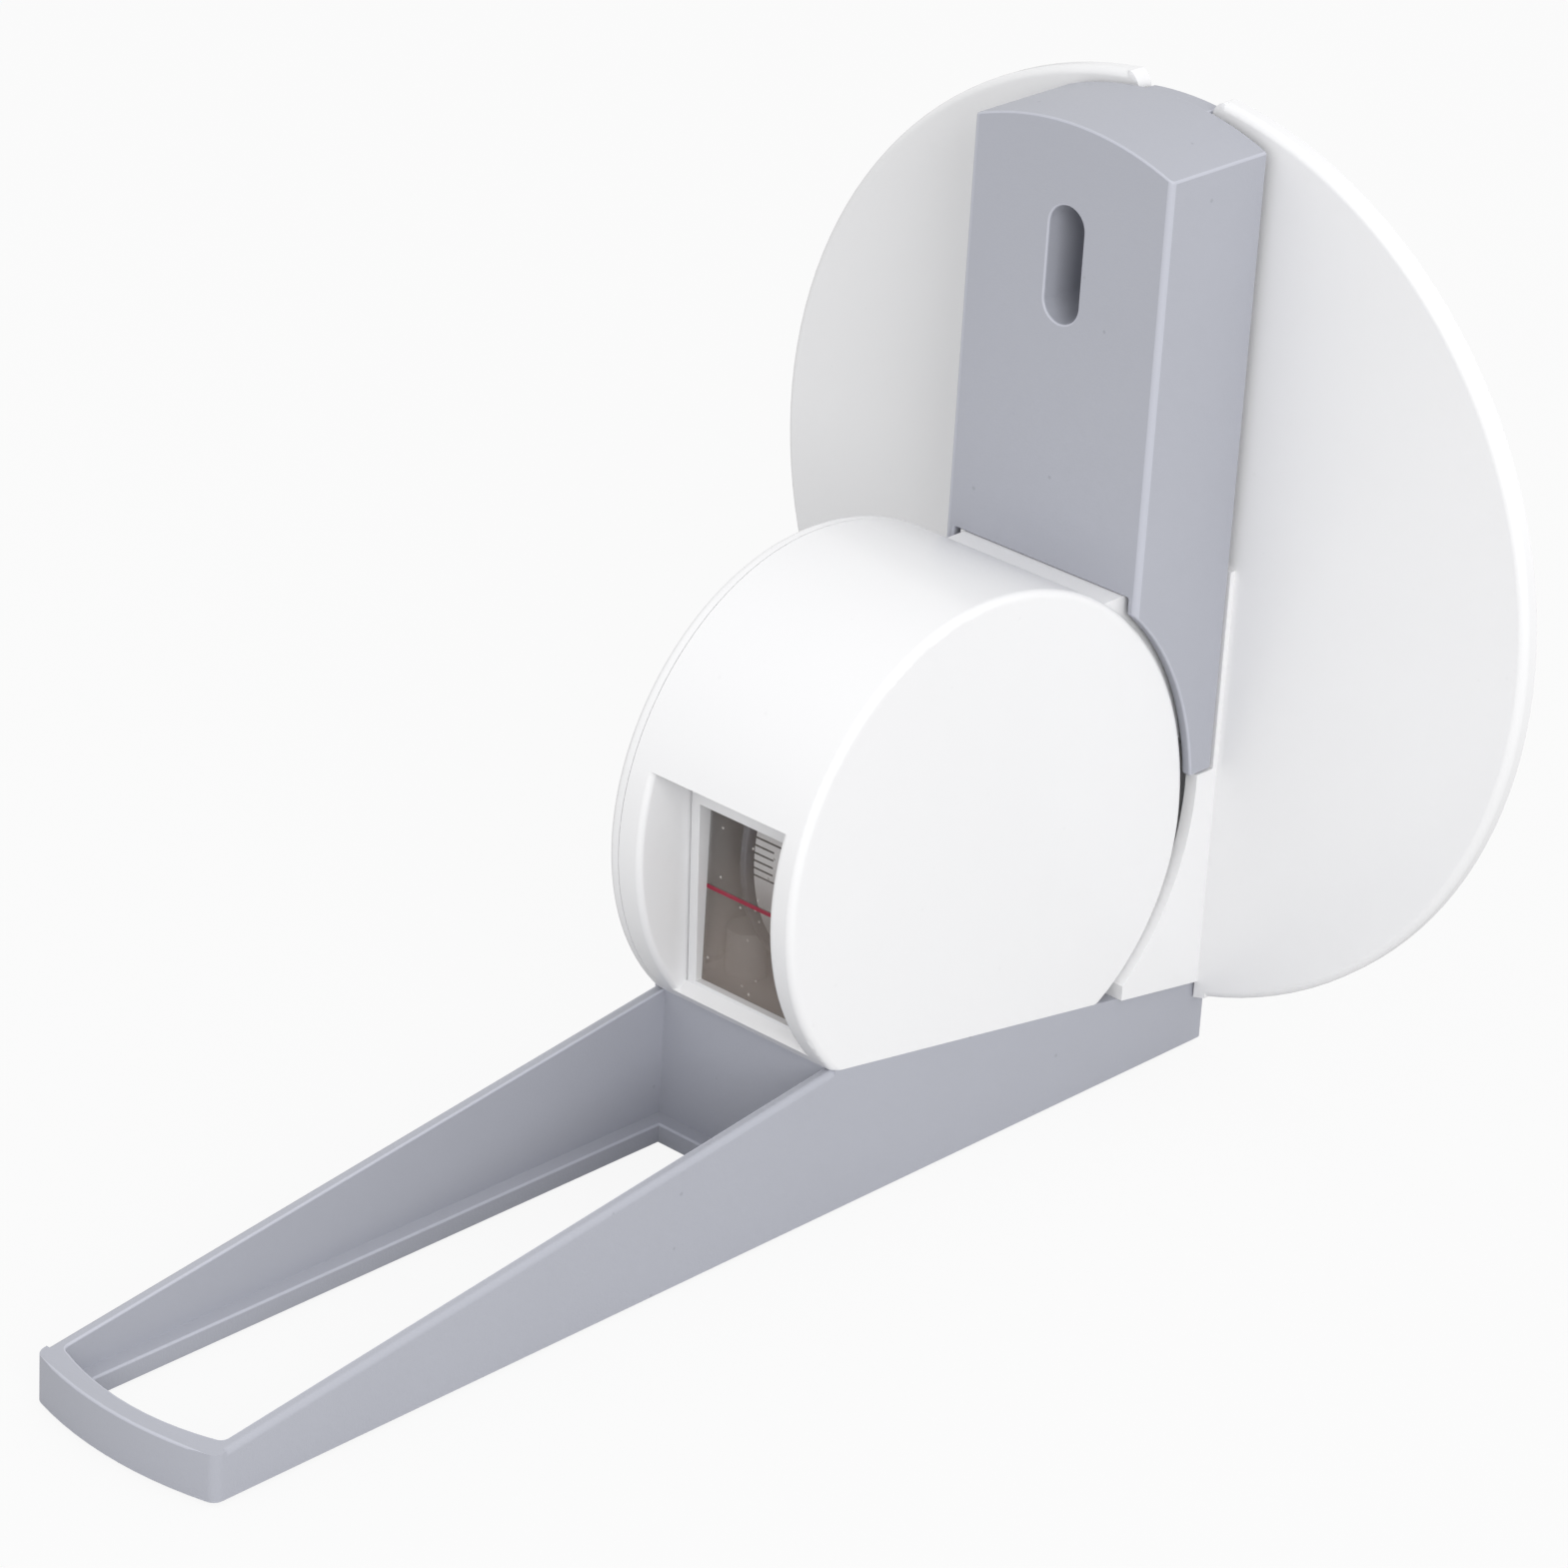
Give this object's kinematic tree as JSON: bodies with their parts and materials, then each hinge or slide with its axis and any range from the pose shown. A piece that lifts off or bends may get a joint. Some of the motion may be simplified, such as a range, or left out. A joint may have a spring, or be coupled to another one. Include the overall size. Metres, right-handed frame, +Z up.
{
  "type": "wall height measure",
  "caption": "Roll-up wall height measure: sliding head with measuring arm, round tape housing with window and wall disc, under a screw-on wall bracket.",
  "frame": {"origin": "on the wall plane, under the middle of the arm's heel, at the height of the arm's underside", "axes": "+Z up, -Y out from the wall along the arm, X across, symmetric about X = 0 but for the side cover"},
  "size_m": [0.12, 0.1706, 0.1244],
  "materials": {
    "grey": "satin grey ABS",
    "white": "glossy white ABS",
    "steel": "zinc-plated steel",
    "spring_steel": "blued spring steel",
    "pane": "clear smoke-tinted plastic",
    "index": "red ink line",
    "reel": "dark grey plastic",
    "tape": "white enamelled steel tape"
  },
  "bodies": {
    "head": {"measuring_arm": "grey", "arm_screws": "steel", "housing_body": "white", "housing_cover": "white", "cover_screws": "steel", "window_pane": "pane", "index_line": "index", "reel_axle": "steel", "thrust_washers": "steel", "spring_arbor": "steel", "guide_pin": "steel", "tape_lead": "tape", "tape_run": "tape", "wall_disc": "white", "disc_screws": "steel"},
    "bracket": {"wall_bracket": "grey", "tape_end": "tape", "tape_clamp": "steel", "clamp_screws": "steel"},
    "reel": {"reel_drum": "reel", "reel_cover": "reel", "recoil_spring": "spring_steel", "tape_coil": "tape"}
  },
  "joints": [
    {"name": "tape_draw", "type": "slide", "parent": "head", "child": "bracket", "axis": [0, 0, 1], "range_m": [0, 2], "stiffness_N_per_m": 0.5, "springref_m": -4, "deforming": ["tape_run"]},
    {"name": "reel_spin", "type": "hinge", "parent": "head", "child": "reel", "pos_m": [0, -0.0456, 0.03979], "axis": [1, 0, 0], "range_deg": [0, 5590]}
  ],
  "couplings": [
    {"joint": "reel_spin", "follows": "tape_draw", "rad_per_m": 48.781}
  ]
}
